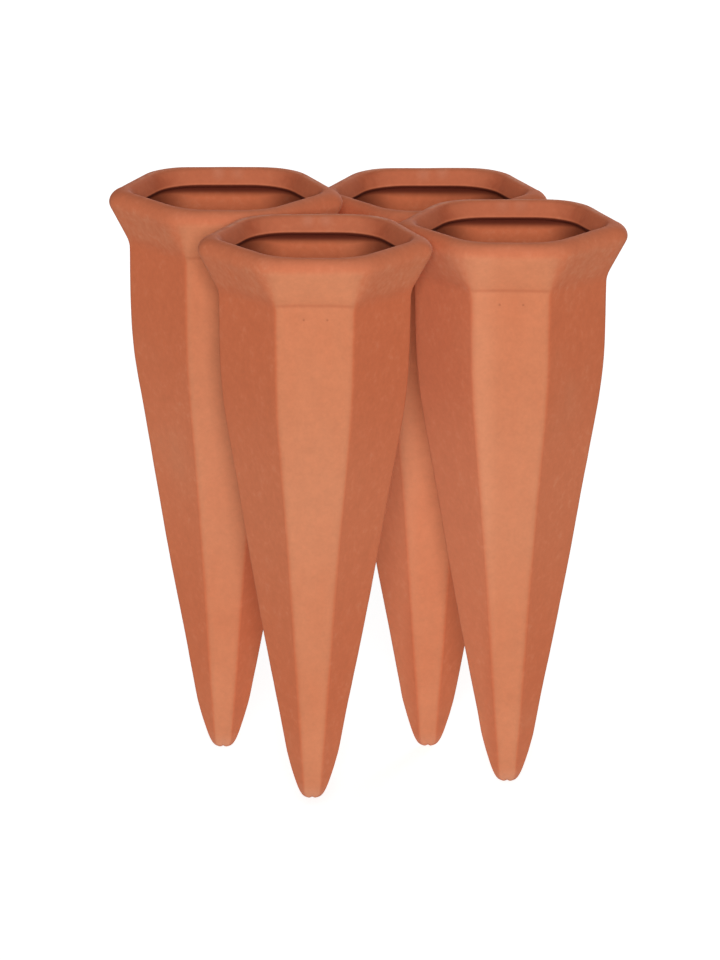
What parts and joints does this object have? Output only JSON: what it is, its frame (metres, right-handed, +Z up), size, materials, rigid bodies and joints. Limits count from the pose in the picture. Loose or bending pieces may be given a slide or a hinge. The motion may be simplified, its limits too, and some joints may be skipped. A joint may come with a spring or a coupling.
{
  "type": "self watering spike",
  "caption": "Faceted, tapering hollow terracotta watering spikes with a flared collar and a rolled lip; pushed into soil, each takes an upturned bottle and seeps water to plant roots.",
  "frame": {"origin": "on the axis of the front left spike, at the crease under its collar, where the soil comes up to", "axes": "+Z up along the spikes, out of the soil; -Y towards the viewer of the picture; +X to the viewer's right"},
  "size_m": [0.1615, 0.1663, 0.1892],
  "materials": {
    "terracotta": "unglazed, matt, low-fired"
  },
  "bodies": {
    "front_left": {"spike_front_left": "terracotta"},
    "front_right": {"spike_front_right": "terracotta"},
    "back_left": {"spike_back_left": "terracotta"},
    "back_right": {"spike_back_right": "terracotta"}
  },
  "joints": [
    {"name": "draw_front_right", "type": "slide", "parent": "front_left", "child": "front_right", "axis": [0, 0, 1], "range_m": [0, 0.175]},
    {"name": "draw_back_left", "type": "slide", "parent": "front_left", "child": "back_left", "axis": [0, 0, 1], "range_m": [0, 0.175]},
    {"name": "draw_back_right", "type": "slide", "parent": "front_left", "child": "back_right", "axis": [0, 0, 1], "range_m": [0, 0.175]}
  ]
}
